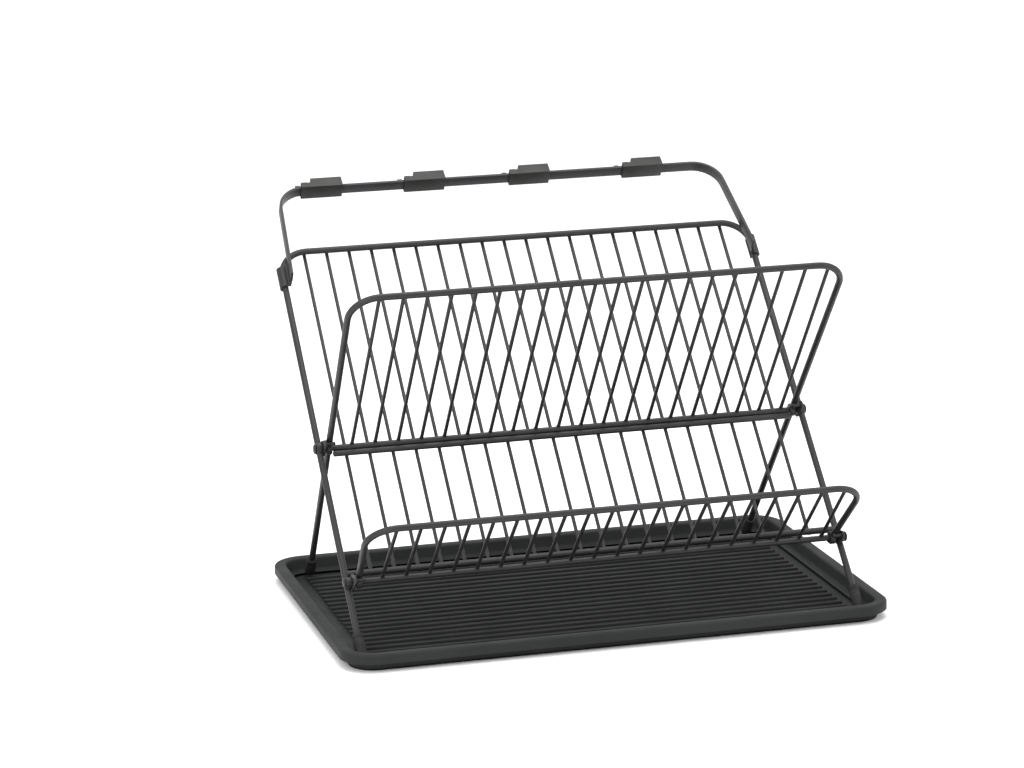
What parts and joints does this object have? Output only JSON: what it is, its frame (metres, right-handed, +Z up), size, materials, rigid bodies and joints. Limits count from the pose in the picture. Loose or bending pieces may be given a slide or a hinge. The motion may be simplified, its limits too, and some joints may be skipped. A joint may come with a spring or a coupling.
{
  "type": "folding dish drying rack",
  "caption": "Folding two-tier dish drying rack of crossed wire frames with a fold-up lower guard, a stemware rail with sliding clips, and a ribbed drip tray.",
  "frame": {"origin": "centre of the drip tray's flat underside, on the table", "axes": "+X along the rack to the right, +Y to the back, where the stemware rail is, +Z up"},
  "size_m": [0.46, 0.3986, 0.3343],
  "materials": {
    "coated_steel": "satin charcoal powder coat on steel rod",
    "tray_plastic": "moulded matt polypropylene",
    "clip_plastic": "moulded satin ABS",
    "foot_rubber": "matt moulded rubber"
  },
  "bodies": {
    "tray": {"drip_tray": "tray_plastic"},
    "rear_frame": {"rear_frame_rod": "coated_steel", "rear_grid_wires": "coated_steel", "rear_mid_bar": "coated_steel", "rear_bottom_bar": "coated_steel", "frame_stop_left": "coated_steel", "frame_stop_right": "coated_steel", "guard_eye_left": "coated_steel", "guard_eye_right": "coated_steel", "guard_stop_left": "coated_steel", "guard_stop_right": "coated_steel", "front_foot_left": "foot_rubber", "front_foot_right": "foot_rubber"},
    "front_frame": {"front_frame_rod": "coated_steel", "front_grid_wires": "coated_steel", "pivot_rod": "coated_steel", "pivot_cap_left": "coated_steel", "pivot_cap_right": "coated_steel", "rear_foot_left": "foot_rubber", "rear_foot_right": "foot_rubber"},
    "guard": {"guard_rod": "coated_steel", "guard_wires": "coated_steel", "guard_hinge_rod": "coated_steel", "guard_cap_left": "coated_steel", "guard_cap_right": "coated_steel"},
    "stem_rail": {"stem_rail": "coated_steel", "rail_hook_left": "coated_steel", "rail_hook_right": "coated_steel"},
    "clip_1": {"stem_clip_1": "clip_plastic"},
    "clip_2": {"stem_clip_2": "clip_plastic"},
    "clip_3": {"stem_clip_3": "clip_plastic"},
    "clip_4": {"stem_clip_4": "clip_plastic"}
  },
  "joints": [
    {"name": "rack_lift", "type": "slide", "parent": "tray", "child": "rear_frame", "axis": [0, 0, 1], "range_m": [0, 0.185]},
    {"name": "front_frame_fold", "type": "hinge", "parent": "rear_frame", "child": "front_frame", "pos_m": [0, 0.021, 0.1415], "axis": [-1, 0, 0], "range_deg": [0, 78]},
    {"name": "guard_fold", "type": "hinge", "parent": "rear_frame", "child": "guard", "pos_m": [0, -0.07851, 0.05423], "axis": [-1, 0, 0], "range_deg": [0, 84]},
    {"name": "stem_rail_slide", "type": "slide", "parent": "rear_frame", "child": "stem_rail", "axis": [0, 0.7193, 0.6947], "range_m": [0, 0.04]},
    {"name": "clip_1_slide", "type": "slide", "parent": "stem_rail", "child": "clip_1", "axis": [1, 0, 0], "range_m": [0, 0.02]},
    {"name": "clip_2_slide", "type": "slide", "parent": "stem_rail", "child": "clip_2", "axis": [1, 0, 0], "range_m": [-0.02, 0.02]},
    {"name": "clip_3_slide", "type": "slide", "parent": "stem_rail", "child": "clip_3", "axis": [1, 0, 0], "range_m": [-0.02, 0.02]},
    {"name": "clip_4_slide", "type": "slide", "parent": "stem_rail", "child": "clip_4", "axis": [1, 0, 0], "range_m": [-0.02, 0.02]}
  ],
  "couplings": [
    {"joint": "rack_lift", "follows": "front_frame_fold", "m_per_rad": 0.13}
  ]
}
